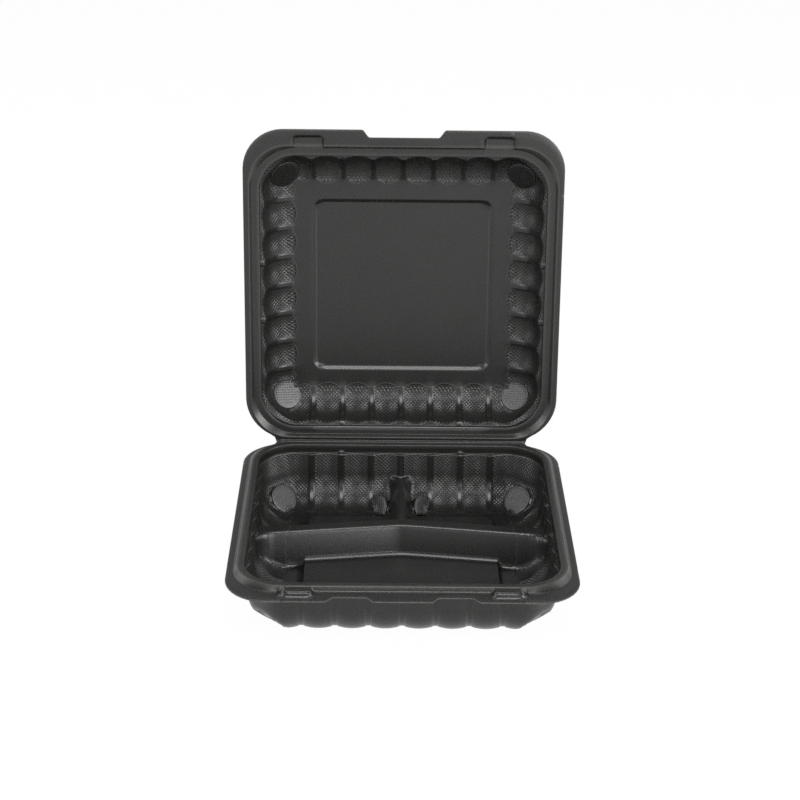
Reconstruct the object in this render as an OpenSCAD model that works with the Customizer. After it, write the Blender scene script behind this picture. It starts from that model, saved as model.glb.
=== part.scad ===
// Hinged takeaway container: one thermoformed sheet with a three-compartment tray,
// a creased hinge strip and a lid, shown with the lid standing open.

/* [Overall] */
// Width of the cavity opening, left to right
cavity_w = 208.6; // [190:0.2:220]
// Length of the cavity opening, front to rear
cavity_l = 205.4; // [190:0.2:220]
// Height of the tray from its foot to its lip
base_h = 42; // [38:0.5:60]
// Height of the lid behind its lip
lid_h = 32; // [30:0.5:50]
// Thickness of the formed sheet
sheet = 0.5; // [0.4:0.05:0.9]
// Opening angle of the lid as it stands, where 0 is shut and 180 is flat
lid_open = 96; // [0:1:180]

/* [Rim] */
// Width of the flat lip along each side
side_lip = 4.7; // [3.5:0.1:10]
// Width of the flat lip along the front
front_lip = 12.8; // [11:0.1:20]
// Corner radius of the lip at the front
front_r = 29; // [26:0.5:34]
// Corner radius of the lip beside the hinge
rear_r = 32; // [26:0.5:36]
// Width of the flat top of the sealing ring
ring_land = 4.4; // [4:0.1:7]
// Sideways run of the sealing ring's outer slope
ring_slope = 1.6; // [1.2:0.1:2.5]
// Height of the tray's sealing ring, and depth of the lid's groove for it
ring_rise = 3; // [2:0.1:3.5]
// Play between the sealing ring or a latch block and its recess in the lid
rim_play = 0.5; // [0.4:0.05:0.8]

/* [Hinge] */
// Width of the hinge strip from the crease to the sealing ring
hinge_strip = 4.2; // [3.5:0.1:9]
// Length of the crease
hinge_len = 186; // [160:1:190]
// Fillet radius where the crease strip meets a rounded rear corner
hinge_fillet = 5; // [3:0.5:8]
// Space across the crease between the tray's edge and the lid's edge
crease = 0.3; // [0.2:0.05:0.4]
// Space between the two lips when the lid is shut
shut_gap = 0.4; // [0.35:0.05:0.6]

/* [Walls] */
// Depth of the plain band from the tray's rim down to its ledge
tray_ledge_d = 6.6; // [5:0.1:8]
// Depth of the plain band from the lid's rim to its ledge
lid_ledge_d = 4; // [3:0.1:6]
// Width of the ledge at the middle of a flute
ledge_w = 1.2; // [0.8:0.1:4]
// Sideways run of the wall between the ledge and its cove
wall_run = 1.5; // [0.8:0.1:2.5]
// Radius of the cove between wall and floor
cove_r = 22.5; // [18:0.1:24]
// Corner radius of the flat floor
floor_r = 2; // [1.5:0.5:5]
// Ribs on each wall
rib_count = 7; // [5:2:9]
// Width of a rib at its foot
rib_w = 5.6; // [4:0.1:8]
// Height of a rib over the middle of the flutes
rib_h = 2.5; // [1.5:0.1:3]
// Hollow of a flute between two ribs
flute_hollow = 1.1; // [0.6:0.1:1.4]

/* [Spacer nubs] */
// Width of the nubs on the ledge that keep stacked containers apart
nub_w = 5; // [3:0.1:6]
// Height of a nub over the ledge
nub_h = 2.8; // [1.2:0.1:3.4]
// Place of the nubs on the front and rear walls, counted in ribs from the middle one
nub_rib_front = 2; // [0:1:2]
// Place of the nubs on the side walls, counted in ribs from the middle one
nub_rib_side = 1; // [0:1:2]

/* [Corner flats] */
// Tilt of the round flat in each lower corner
flat_tilt = 32; // [28:1:40]
// Depth to which a corner flat cuts across its rounded corner
flat_cut = 1.9; // [1.2:0.1:4]

/* [Floor] */
// Width of the gutter between the coves and the raised floor
gutter_w = 11.5; // [8:0.5:16]
// Height of the tray's raised floor over the gutter that it stands on
island_rise = 4.5; // [3:0.1:8]
// Corner radius of the raised floor and of the lid's panel
island_r = 7; // [4:0.5:14]
// Sideways run of the slope round the raised floor or the lid's panel
island_slope = 1.5; // [1:0.1:3]
// Width of the border round the lid's panel
panel_border = 13; // [9:0.5:18]
// Height of the lid's panel over its border, seen from above
panel_rise = 1.8; // [1:0.1:3]

/* [Dividers] */
// Width across the top of the chevron divider
divider_w = 9; // [7:0.1:12]
// Width across the top of the centre divider
centre_w = 4.6; // [4:0.1:10]
// Draft angle of the divider sides
divider_draft = 20; // [12:1:24]
// Drop from the lip to the top of the chevron divider
chevron_drop = 17; // [12:0.5:22]
// Distance of the chevron's point from the middle of the cavity
chevron_y = 19; // [10:0.5:30]
// Angle of each half of the chevron
chevron_angle = 8; // [0:1:12]
// Drop from the lip to the top of the centre divider
centre_drop = 21.5; // [14:0.5:26]
// Rounding of the divider tops
divider_round = 1.6; // [1:0.1:2.5]
// How far each side of a divider spreads out at a wall
divider_flare = 12; // [6:0.5:16]
// Length over which a divider spreads at a wall
flare_len = 14; // [10:1:24]
// How far each side of the centre divider spreads out at the chevron
fork_flare = 8; // [4:0.5:12]
// Length over which the centre divider spreads at the chevron
fork_len = 20; // [12:1:30]

/* [Front edge] */
// Width of a latch block
latch_w = 21.4; // [14:0.2:24]
// Distance of each latch block from the middle
latch_x = 68; // [60:0.5:74]
// Distance of a latch block from the front edge of the lip
latch_back = 5; // [4:0.1:8]
// Width of a thumb notch in the tray's front lip at its outer edge
notch_w = 32; // [24:0.5:36]
// Distance of each thumb notch from the middle
notch_x = 34; // [28:0.5:36]
// Depth of the thumb notches and of the lid's centre relief
notch_d = 5.5; // [4:0.1:7]
// Sideways run of a notch's slanted ends
notch_run = 5.6; // [3:0.1:8]
// Width of the relief in the middle of the lid's front lip
relief_w = 60; // [50:1:70]

/* [Hidden] */

sheet_color = "#2b2c2f";

cavity_r = floor_r + cove_r + wall_run + ledge_w;
ring_w = ring_land + ring_slope;
half_w = cavity_w / 2;
half_l = cavity_l / 2;
axis_x = half_w - cavity_r;
axis_y = half_l - cavity_r;
lip_w = cavity_w + 2 * (ring_w + side_lip);
front_y = -(half_l + ring_w + front_lip);
hinge_y = half_l + ring_w + hinge_strip;
// The crease turns about a line halfway between the two lips of a shut container.
hinge_z = base_h + shut_gap / 2;

base_floor = base_h - sheet;
lid_floor = lid_h - sheet;
// A solid that ends below every face that it could meet
deep = base_h + lid_h;
// A small overlap that keeps joined or cut solids from sharing a face
lap = 1;

post_r = divider_w / 2;
centre_r = centre_w / 2;
// Places of a divider's sections: round the chevron's point in divider widths, along a spread
// end and along the centre divider as shares of their lengths
point_steps = [0.3, 0.8];
flare_steps = [0 : 0.2 : 1];
centre_steps = [0 : 1 / 12 : 1];
// How late a spreading divider widens, where 1 is evenly
spread_power = 2.5;
cove_steps = [30, 60, 90];
corner_steps = [0, 22.5, 45, 67.5, 90];
corner_arc = [0 : 15 : 90];
flat_size = 2 * cove_r;
// Distance of a corner flat from the centre of its cove
flat_reach = cove_r - flat_cut;
// Share of a flute's half width at which its hollow has a step
hollow_share = 0.4;
// Size of a nub's top as a share of its foot
nub_taper = 0.6;

// Centres of the coves in the corners that have a round flat, as [x, y, direction of the corner].
// The last two lie between the rear wall and the centre divider.
outer_x = axis_x + floor_r * cos(45);
outer_y = axis_y + floor_r * cos(45);
inner_x = centre_r + cove_r;
flat_corners = concat(
    [for (sx = [-1, 1], sy = [-1, 1]) [sx * outer_x, sy * outer_y, atan2(sy, sx)]],
    [for (sx = [-1, 1]) [sx * inner_x, outer_y, atan2(1, -sx)]]);
outer_flats = [0 : 3];
inner_flats = [4 : 5];

// A rib dies out round its cove, and is gone where the cove reaches the floor.
function rib_fade(angle) = 1 - pow(angle / 90, 3);

// Places along one wall as [distance from its middle, height over the flutes].
function wall_stations(half) =
    let (pitch = 2 * half / rib_count)
    let (hollow_half = (pitch - rib_w) / 2)
    let (hollow_step = hollow_share * hollow_half)
    let (hollow_rise = flute_hollow * pow(hollow_share, 2))
    [for (i = [0 : rib_count - 1])
        let (middle = -half + (i + 0.5) * pitch)
        each concat(
            [[middle - rib_w / 2, flute_hollow], [middle, rib_h], [middle + rib_w / 2, flute_hollow]],
            i < rib_count - 1
                ? [for (side = [-1, 1]) [middle + pitch / 2 + side * hollow_step, hollow_rise]]
                : [])];

// Columns round the cavity as [foot on the corner-axis rectangle, outward direction, rib height].
columns = [for (side = [0 : 3])
    let (turn = 90 * side)
    let (out = [cos(turn), sin(turn)])
    let (along = [-sin(turn), cos(turn)])
    let (reach = side % 2 == 0 ? axis_x : axis_y)
    let (half = side % 2 == 0 ? axis_y : axis_x)
    each concat(
        [for (s = wall_stations(half)) [out * reach + along * s[0], out, s[1]]],
        [for (a = corner_steps) [out * reach + along * half, [cos(turn + a), sin(turn + a)], 0]])];

// One column's section from above the rim to the floor, as [reach from the column's foot, depth
// below the lip]. A grow over 0 follows the sheet's other face.
function section(rib, rim, ledge_d, floor_d, grow) =
    let (cove_d = floor_d - cove_r)
    let (wall = floor_r + cove_r)
    concat(
        [[cavity_r + grow, rim - deep],
         [cavity_r - wall_run / 2 + grow, rim + ledge_d + grow],
         [wall + wall_run - rib + grow, rim + ledge_d + wall_run / 2 + grow],
         [wall - rib + grow, cove_d]],
        [for (a = cove_steps)
            let (r = cove_r - rib * rib_fade(a) + grow)
            [floor_r + r * cos(a), cove_d + r * sin(a)]]);

// A solid through a row of rings that have the same number of points, closed by the first and last.
module skin(rings) {
    count = len(rings[0]);
    last = len(rings) - 1;
    sides = [for (k = [0 : last - 1], i = [0 : count - 1])
        let (j = (i + 1) % count)
        let (a = k * count + i)
        let (b = k * count + j)
        each [[a, b + count, b], [a, a + count, b + count]]];
    first_face = [for (i = [0 : count - 1]) i];
    last_face = [for (i = [count - 1 : -1 : 0]) last * count + i];
    polyhedron([for (ring = rings) each ring], concat([first_face], sides, [last_face]), convexity = 6);
}

// The space inside one half of the container, closed above the rim.
module fluted_cavity(rim, ledge_d, floor_d, grow) {
    sections = [for (c = columns) section(c[2], rim, ledge_d, floor_d, grow)];
    skin([for (k = [len(sections[0]) - 1 : -1 : 0])
        [for (i = [0 : len(columns) - 1])
            let (s = sections[i][k])
            let (p = columns[i][0] + s[0] * columns[i][1])
            [p[0], p[1], -s[1]]]]);
}

// The solid that leaves a round flat across a lower corner of the cavity.
module corner_flat(corner, floor_d, grow) {
    translate([corner[0], corner[1], cove_r - floor_d])
        rotate([0, 0, corner[2]])
        rotate([0, 180 - flat_tilt, 0])
        translate([-flat_size / 2, -flat_size / 2, flat_reach + grow])
        cube([flat_size, flat_size, deep]);
}

// The cavity with a round flat cut across each of its four lower corners.
module cavity(rim, ledge_d, floor_d, grow) {
    difference() {
        fluted_cavity(rim, ledge_d, floor_d, grow);
        for (i = outer_flats)
            corner_flat(flat_corners[i], floor_d, grow);
    }
}

// Points round a rectangle of size [width, length, corner radius].
function rounded_rectangle(size) =
    let (w = size[0] / 2 - size[2])
    let (l = size[1] / 2 - size[2])
    [for (k = [0 : 3], a = corner_arc)
        let (t = 90 * k + a)
        let (sx = k == 0 || k == 3 ? 1 : -1)
        let (sy = k < 2 ? 1 : -1)
        [sx * w + size[2] * cos(t), sy * l + size[2] * sin(t)]];

// One nub: a short lug that stands on the ledge, from the plain band to the crest of a rib.
module nub(rib, ledge_z, grow) {
    r = nub_w / 2 - grow;
    inner = cavity_r - ledge_w - rib + nub_w / 2;
    hull()
        for (reach = [inner, cavity_r + nub_w])
            translate([reach, 0, ledge_z - deep])
                cylinder(r1 = r, r2 = nub_taper * r, h = deep + nub_h - grow, $fn = 6);
}

// The nubs of one half: two on each wall, and one in each corner.
module nubs(rim, ledge_d, grow) {
    ledge_z = -rim - ledge_d;
    for (side = [-1, 1], along = [-1, 1]) {
        translate([side * axis_x, along * nub_rib_side * 2 * axis_y / rib_count, 0])
            rotate([0, 0, side < 0 ? 180 : 0])
            nub(rib_h, ledge_z, grow);
        translate([along * nub_rib_front * 2 * axis_x / rib_count, side * axis_y, 0])
            rotate([0, 0, 90 * side])
            nub(rib_h, ledge_z, grow);
        translate([side * axis_x, along * axis_y, 0])
            rotate([0, 0, atan2(along, side)])
            nub(0, ledge_z, grow);
    }
}

// A solid through a stack of rounded rectangles, each at its own height, from the bottom up.
module loft(sizes, heights) {
    skin([for (k = [0 : len(heights) - 1])
        [for (p = rounded_rectangle(sizes[k])) [p[0], p[1], heights[k]]]]);
}

// The lip's outline: round corners in front and behind, and the strip that runs to the crease.
module lip_outline() {
    crease_y = hinge_y - crease / 2;
    rear_y = hinge_y - hinge_strip / 2;
    offset(r = -hinge_fillet, $fn = 48) offset(delta = hinge_fillet) {
        hull() {
            for (sx = [-1, 1]) {
                translate([sx * (lip_w / 2 - front_r), front_y + front_r])
                    circle(front_r, $fn = 48);
                translate([sx * (lip_w / 2 - rear_r), rear_y - rear_r])
                    circle(rear_r, $fn = 48);
            }
        }
        translate([-hinge_len / 2, rear_y - rear_r])
            square([hinge_len, crease_y - rear_y + rear_r]);
    }
}

// A notch with slanted ends in the front lip, wide at the edge.
module lip_notch(width) {
    polygon([
        [-width / 2, front_y - lap],
        [-width / 2, front_y],
        [-width / 2 + notch_run, front_y + notch_d],
        [width / 2 - notch_run, front_y + notch_d],
        [width / 2, front_y],
        [width / 2, front_y - lap]
    ]);
}

module base_lip() {
    difference() {
        lip_outline();
        for (sx = [-1, 1])
            translate([sx * notch_x, 0]) lip_notch(notch_w);
    }
}

module lid_lip() {
    difference() {
        lip_outline();
        lip_notch(relief_w);
    }
}

// The sealing ring and the two latch blocks, as one raised form that starts below the lip.
// A grow over 0 makes the larger groove that takes them.
module ring_form(rise, grow) {
    foot = [cavity_w + 2 * (ring_w + grow), cavity_l + 2 * (ring_w + grow), cavity_r + grow];
    land = [
        cavity_w + 2 * (ring_land + grow),
        cavity_l + 2 * (ring_land + grow),
        cavity_r + ring_land + grow
    ];
    loft([foot, foot, land], [-deep, 0, rise]);
    block_l = front_lip - latch_back + ring_w;
    block = [latch_w + 2 * grow, block_l + 2 * grow, ring_slope + grow];
    block_top = block - [2 * ring_slope, 2 * ring_slope, 0];
    for (sx = [-1, 1])
        translate([sx * latch_x, front_y + latch_back + block_l / 2, 0])
            loft([block, block, block_top], [-deep, 0, rise]);
}

// How far a divider has spread at a share of its spreading length.
function spread(share, flare) = flare * pow(max(0, share), spread_power);

// A ridge with drafted sides and a rounded top along X, through stations given as
// [place along it, place across it, half width of its top].
module ridge(stations, drop, grow) {
    top_z = -drop - grow;
    round_z = top_z - divider_round;
    foot_z = -base_h - lap;
    draft_run = (round_z - foot_z) * tan(divider_draft);
    // How far the middle of the rounding lies from its corner
    inset = divider_round * (1 - cos(45));
    half = [[draft_run, foot_z], [0, round_z], [-inset, top_z - inset], [-divider_round, top_z]];
    skin([for (s = stations)
        let (r = s[2] - grow)
        concat(
            [for (p = half) [s[0], s[1] + r + p[0], p[1]]],
            [for (i = [len(half) - 1 : -1 : 0]) [s[0], s[1] - r - half[i][0], half[i][1]]])]);
}

// The chevron divider from one side wall to the other, with a rounded point.
module chevron(grow) {
    end_x = half_w - ledge_w;
    turn_x = end_x - flare_len;
    side = concat(point_steps * divider_w, [for (share = flare_steps) turn_x + share * flare_len]);
    places = concat([for (i = [len(side) - 1 : -1 : 0]) -side[i]], [0], side);
    ridge([for (x = places)
        let (from_point = sqrt(pow(x, 2) + pow(post_r, 2)) - post_r)
        let (half = post_r / cos(chevron_angle) + spread((abs(x) - turn_x) / flare_len, divider_flare))
        [x, chevron_y - from_point * tan(chevron_angle), half]],
        chevron_drop, grow);
}

// The centre divider from the chevron to the rear wall, spread at both ends.
module centre_divider(grow) {
    fork_y = chevron_y + post_r;
    length = half_l - fork_y;
    stations = [for (share = centre_steps)
        let (from_fork = share * length)
        let (from_wall = length - from_fork)
        let (fork_spread = spread(1 - from_fork / fork_len, fork_flare))
        let (wall_spread = spread(1 - from_wall / flare_len, divider_flare))
        [fork_y + from_fork, 0, centre_r + fork_spread + wall_spread]];
    start = [chevron_y, 0, stations[0][2]];
    rotate([0, 0, 90])
        ridge(concat([start], stations), centre_drop, grow);
}

// The dividers, the raised floor and the flats beside the centre divider.
module dividers(grow) {
    chevron(grow);
    centre_divider(grow);

    raised = [
        cavity_w - 2 * (cavity_r - floor_r + gutter_w + grow),
        cavity_l - 2 * (cavity_r - floor_r + gutter_w + grow),
        island_r
    ];
    foot = raised + [2 * island_slope, 2 * island_slope, island_slope];
    translate([0, 0, -base_floor - grow])
        loft([foot, foot, raised], [-deep, 0, island_rise]);
    // Each flat stays on its own side of the centre divider.
    for (i = inner_flats)
        intersection() {
            corner_flat(flat_corners[i], base_floor, grow);
            translate([flat_corners[i][0], 0, 0])
                cube([2 * inner_x - lap, cavity_l, 2 * deep], center = true);
        }
}

// Everything below the tray's upper face, or below its under face when grow is the sheet.
module under_base(grow) {
    difference() {
        union() {
            translate([0, 0, -deep - grow])
                linear_extrude(deep) offset(delta = grow) base_lip();
            ring_form(ring_rise - grow, -grow);
        }
        difference() {
            cavity(-ring_rise, tray_ledge_d, base_floor, grow);
            dividers(grow);
            nubs(-ring_rise, tray_ledge_d, grow);
        }
    }
}

// Everything below the lid's inner face, or below its outer face when grow is the sheet.
module under_lid(grow) {
    panel = [
        cavity_w - 2 * (cavity_r - floor_r + panel_border - grow),
        cavity_l - 2 * (cavity_r - floor_r + panel_border - grow),
        island_r + grow
    ];
    mouth = panel + [2 * island_slope, 2 * island_slope, island_slope];
    difference() {
        translate([0, 0, -deep - grow])
            linear_extrude(deep) offset(delta = grow) lid_lip();
        mirror([0, 0, 1])
            ring_form(ring_rise + grow, rim_play + grow);
        difference() {
            cavity(ring_rise, lid_ledge_d, lid_floor, grow);
            nubs(ring_rise, lid_ledge_d, grow);
        }
        translate([0, 0, -lid_floor - grow])
            loft([panel, mouth, mouth], [-panel_rise, 0, lap]);
    }
}

module base_tray() {
    color(sheet_color)
        translate([0, 0, base_h])
        difference() {
            under_base(0);
            under_base(sheet);
        }
}

// The lid is formed flat behind the tray and turned about the crease to where it stands.
module lid() {
    color(sheet_color)
        translate([0, hinge_y, hinge_z])
        rotate([180 - lid_open, 0, 0])
        translate([0, hinge_y, -shut_gap / 2])
        rotate([0, 0, 180])
        difference() {
            under_lid(0);
            under_lid(sheet);
        }
}

base_tray();
lid();
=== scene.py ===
# %% [markdown]
# # A hinged takeaway container
# The object is one sheet of black polypropylene, drawn hot into a mould: a tray with three
# compartments, a creased hinge and a lid that stands open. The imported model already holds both
# halves at their real size, in metres. This lesson gives each half a smooth formed sheet in its
# place, then the finish of the plastic, the light and the camera.

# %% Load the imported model
import math
import bpy
import numpy as np
from mathutils import Matrix, Vector


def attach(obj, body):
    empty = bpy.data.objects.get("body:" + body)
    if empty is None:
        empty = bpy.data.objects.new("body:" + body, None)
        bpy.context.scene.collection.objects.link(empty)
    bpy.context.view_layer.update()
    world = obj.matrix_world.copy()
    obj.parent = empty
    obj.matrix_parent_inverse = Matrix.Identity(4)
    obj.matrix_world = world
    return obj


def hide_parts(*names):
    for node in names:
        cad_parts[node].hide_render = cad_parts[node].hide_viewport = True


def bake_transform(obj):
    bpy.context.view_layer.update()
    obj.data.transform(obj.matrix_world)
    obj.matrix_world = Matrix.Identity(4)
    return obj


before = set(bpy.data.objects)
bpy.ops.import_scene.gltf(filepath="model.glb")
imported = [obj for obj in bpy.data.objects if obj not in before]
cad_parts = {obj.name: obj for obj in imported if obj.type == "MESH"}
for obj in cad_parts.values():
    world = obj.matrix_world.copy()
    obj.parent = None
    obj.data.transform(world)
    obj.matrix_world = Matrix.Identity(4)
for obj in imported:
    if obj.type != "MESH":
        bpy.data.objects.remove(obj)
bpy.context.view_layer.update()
scene = bpy.context.scene

# %% [markdown]
# ## The camera
# The picture was taken from in front and a little above with a long lens, so the sides of the
# tray hardly converge. The camera's place and its small turn and tilt come from matching the
# corners of the lip and the ring; it could be aimed by eye, but a matrix keeps the match exact.

# %% Camera
MM = 0.001
CAMERA_PLACE = (-13.7, -1160.0, 651.5)
PITCH, YAW, ROLL = (math.radians(a) for a in (24.295, 0.57, 0.69))
LENS = 85.06

ahead = Vector((math.sin(YAW) * math.cos(PITCH), math.cos(YAW) * math.cos(PITCH), -math.sin(PITCH)))
level = Vector((math.cos(YAW), -math.sin(YAW), 0))
over = level.cross(ahead)
right = level * math.cos(ROLL) + over * math.sin(ROLL)
up = over * math.cos(ROLL) - level * math.sin(ROLL)
camera_data = bpy.data.cameras.new("product_camera")
camera_data.sensor_fit = "HORIZONTAL"
camera_data.sensor_width = 36
camera_data.lens = LENS
camera_data.clip_end = 50
camera = bpy.data.objects.new("product_camera", camera_data)
turn = Matrix((right, up, -ahead)).transposed().to_4x4()
camera.matrix_world = Matrix.Translation(Vector(CAMERA_PLACE) * MM) @ turn
scene.collection.objects.link(camera)
scene.camera = camera
print("camera at", tuple(round(c, 3) for c in camera.location), "lens", camera_data.lens)

# %% [markdown]
# ## The sizes of the mould
# Both halves share one cavity: a rounded rectangle with a sealing ring, a plain band, a narrow
# ledge, fluted walls and a large cove down to the floor. The values are in millimetres. Nearly
# all are those of the solid model, so that the smooth sheet lies on the solid that it replaces;
# the flutes are a little more hollow.

# %% Sizes in millimetres
SHEET = 0.5  # thickness
AXIS = np.array([77.1, 75.5])  # half the rectangle that the corners turn about
CAVITY_R, FLOOR_R, COVE_R = 27.2, 2.0, 22.5  # reach from there, and the radius of the cove
WALL_RUN, LEDGE_W = 1.5, 1.2
TRAY_LEDGE_D, LID_LEDGE_D = 6.6, 4.0  # depth of the ledge under the rim
RING_LAND, RING_SLOPE, RING_RISE = 4.4, 1.6, 3.0
RIBS, RIB_W, RIB_SIDE, RIB_H, FLUTE_HOLLOW = 7, 5.6, 1.5, 2.5, 1.5
LIP_HALF, FRONT_Y, FRONT_R, REAR_R = 115.0, -121.5, 29.0, 32.0
HINGE_Y, HINGE_Z, HINGE_HALF, HINGE_FILLET = 112.9, 42.2, 93.0, 5.0
REAR_Y, CREASE = 110.8, 0.3  # where the rear corners end, and the gap along the crease
BASE_H, LID_H, LID_OPEN = 42.0, 32.0, 96.0
SHUT_GAP, RIM_PLAY = 0.4, 0.5
print("cavity", 2 * (AXIS + CAVITY_R), "mm, lid open", LID_OPEN, "degrees")

# %% [markdown]
# ## Lines of the mesh
# A formed sheet is one skin, so it is built as one net: straight lines cross the floor and go on
# up the walls, and fans fill the round corners. A subdivision surface could round a coarse cage,
# but it would also soften the crisp ring and the flutes. Here the lines simply stand closer
# together where the form turns quickly.


# %% Lines that stand closer inside some zones
COARSE = 2.6  # spacing of the lines where nothing happens
TRIALS = 12001  # places at which the spacing is looked up
RIB_ZONE, RIB_SPACING = 3.1, 0.56  # half width of the zone at a rib, and the spacing in it
FLOOR_EVERY = 3  # only every third line crosses the plain floor


def spaced_lines(half, zones):
    """Places from -half to half, closer together inside zones of (from, to, spacing)."""
    place = np.linspace(-half, half, TRIALS)
    gap = np.full_like(place, COARSE)
    for low, high, close in zones:
        inside = (place >= low) & (place <= high)
        gap[inside] = np.minimum(gap[inside], close)
    lines = np.concatenate([[0], np.cumsum((place[1] - place[0]) / gap[1:])])
    count = math.ceil(lines[-1])
    return np.interp(np.linspace(0, lines[-1], count + 1), lines, place)


def both_sides(zones):
    """The zones and their mirror images."""
    return [z for low, high, gap in zones for z in ((low, high, gap), (-high, -low, gap))]


def rib_zones(half):
    """A zone at each rib of a wall."""
    pitch = 2 * half / RIBS
    middles = [-half + (i + 0.5) * pitch for i in range(RIBS)]
    return [(m - RIB_ZONE, m + RIB_ZONE, RIB_SPACING) for m in middles]


def thinned(lines, zones):
    """Indices of the lines that cross the floor: all of them inside zones, else only some."""
    keep = np.arange(len(lines)) % FLOOR_EVERY == 0
    keep[[0, -1]] = True
    for low, high in zones:
        keep |= (lines >= low) & (lines <= high)
    return np.flatnonzero(keep)


print("pitch of the ribs", (2 * AXIS / RIBS).round(1), "mm")


# %% [markdown]
# ## Ribs and rounded corners
# Between two ribs the wall is a shallow hollow, and a rib is a flat-topped fold with two short
# slopes. The ribs could be separate strips, but they are the same sheet, so they are only a
# height that moves the wall inwards. Sharp corners of the section get a small arc each.


# %% Ribs and small arcs
ARC_SHARE = 0.45  # an arc takes no more than this share of an edge beside it


def rib_height(s, half):
    """How far the wall stands in over the flutes' middles at a place along a wall."""
    pitch = 2 * half / RIBS
    from_rib = np.abs((s + half) % pitch - pitch / 2)
    flute = np.clip((pitch / 2 - from_rib) / ((pitch - RIB_W) / 2), 0, 1)
    side = np.clip((RIB_W / 2 - from_rib) / RIB_SIDE, 0, 1)
    return FLUTE_HOLLOW * flute**2 + (RIB_H - FLUTE_HOLLOW) * side**2 * (3 - 2 * side)


def arc(before, corner, after, radius, steps):
    """Points of a rounded corner for every column at once."""
    back, on = before - corner, after - corner
    back_run, on_run = np.linalg.norm(back, axis=1), np.linalg.norm(on, axis=1)
    reach = np.minimum(back_run, on_run)[:, None]
    back, on = back / back_run[:, None], on / on_run[:, None]
    half_turn = np.arccos(np.clip((back * on).sum(1), -1, 1))[:, None] / 2
    run = np.minimum(radius / np.tan(half_turn), ARC_SHARE * reach)
    start, end = corner + back * run, corner + on * run
    shares = np.linspace(0, 1, steps)
    return [start * (1 - t) ** 2 + corner * 2 * t * (1 - t) + end * t**2 for t in shares]


def smooth_max(a, b, width):
    """The higher of two heights, with a fillet where they cross."""
    h = np.clip(0.5 + 0.5 * (a - b) / width, 0, 1)
    return b + (a - b) * h + width * h * (1 - h)


def smooth_min(a, b, width):
    """The lower of two heights, with a fillet where they cross."""
    return -smooth_max(-a, -b, width)


print("a rib stands", RIB_H, "mm high and", RIB_W, "mm wide")


# %% [markdown]
# ## The edge of the lip
# Seen from above the lip has large round corners, wider at the front where the latches sit, and
# a straight strip behind that runs to the crease. A path of points by length along the edge lets
# the fans of the corners spread evenly over lines and arcs alike.


# %% Corner paths
FAN = 24  # parts of a corner; their lines stand closer at its ends
CORNER_STEPS = 0.5 - 0.5 * np.cos(np.pi * np.arange(1, FAN) / FAN)
NOTCH_DEEP, NOTCH_RUN = 5.5, 5.6  # depth of the notches in the front lip, and their slanted ends


def bend(centre, radius, start, end, steps=40):
    """Points of an arc from one angle to another, in degrees."""
    a = np.radians(np.linspace(start, end, steps))
    return np.stack([centre[0] + radius * np.cos(a), centre[1] + radius * np.sin(a)], axis=1)


def along(path, shares, kept=()):
    """Points at shares of a path's length. Each kept corner takes over the nearest point."""
    path = np.asarray(path, float)
    steps = np.linalg.norm(np.diff(path, axis=0), axis=1)
    length = np.concatenate([[0], np.cumsum(steps)])
    places = shares * length[-1]
    points = np.stack([np.interp(places, length, path[:, k]) for k in (0, 1)], axis=1)
    for corner in kept:
        points[np.argmin(np.linalg.norm(points - corner, axis=1))] = corner
    return points


def front_lip_corner():
    """The lip's edge round the right front corner, from its side."""
    round_end = bend((LIP_HALF - FRONT_R, FRONT_Y + FRONT_R), FRONT_R, 0, -90)
    path = np.vstack([[LIP_HALF, -AXIS[1]], round_end, [AXIS[0], FRONT_Y]])
    return along(path, CORNER_STEPS)


def rear_lip_corner():
    """The lip's edge round the right rear corner, up to the end of the crease."""
    centre = np.array([LIP_HALF - REAR_R, REAR_Y - REAR_R])
    nook_x = HINGE_HALF + HINGE_FILLET
    rise = math.sqrt((REAR_R + HINGE_FILLET) ** 2 - (nook_x - centre[0]) ** 2)
    nook = np.array([nook_x, centre[1] + rise])
    meet = math.degrees(math.atan2(rise, nook_x - centre[0]))
    edge_y = HINGE_Y - CREASE / 2
    tip = np.array([HINGE_HALF, edge_y])
    path = np.vstack([
        [LIP_HALF, AXIS[1]],
        bend(centre, REAR_R, 0, meet),
        bend(nook, HINGE_FILLET, meet + 180, 180),
        tip,
        [AXIS[0], edge_y],
    ])
    return along(path, CORNER_STEPS, [tip])


def ring_corner(grow):
    """The foot of the ring round the right rear corner, tighter than the ring's top."""
    reach = CAVITY_R + RING_LAND + RING_SLOPE + grow
    radius = CAVITY_R + grow
    path = np.vstack([
        [AXIS[0] + reach, AXIS[1]],
        bend(AXIS + reach - radius, radius, 0, 90),
        [AXIS[0], AXIS[1] + reach],
    ])
    return along(path, CORNER_STEPS)


def notch(x, middle, width):
    """Depth of a notch with slanted ends in the front lip."""
    inside = np.clip((width / 2 - np.abs(x - middle)) / NOTCH_RUN, 0, 1)
    return NOTCH_DEEP * inside * inside * (3 - 2 * inside)


print("lip corner ends at", front_lip_corner()[-1].round(1))


# %% [markdown]
# ## Columns along the walls
# Columns stand round the corner-axis rectangle: along each wall at the lines of the floor, and
# fanned in the corners. Each one knows its foot, its outward direction, its rib height, and where
# the ring and the lip's edge lie in front of it. With that, one section serves all round.

# %% Columns of the walls
SCOOP_FADE = 5  # the scoops die out over this length at the ends of a wall


class Net:
    """Points, faces and finish marks of one formed half, in millimetres, with the lip at 0."""

    def __init__(self, rim, ledge_d, floor_d, grow, corner_in, notches):
        self.rim, self.ledge_d, self.floor_d = rim, ledge_d, floor_d
        self.grow, self.corner_in, self.notches = grow, corner_in, notches


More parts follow.
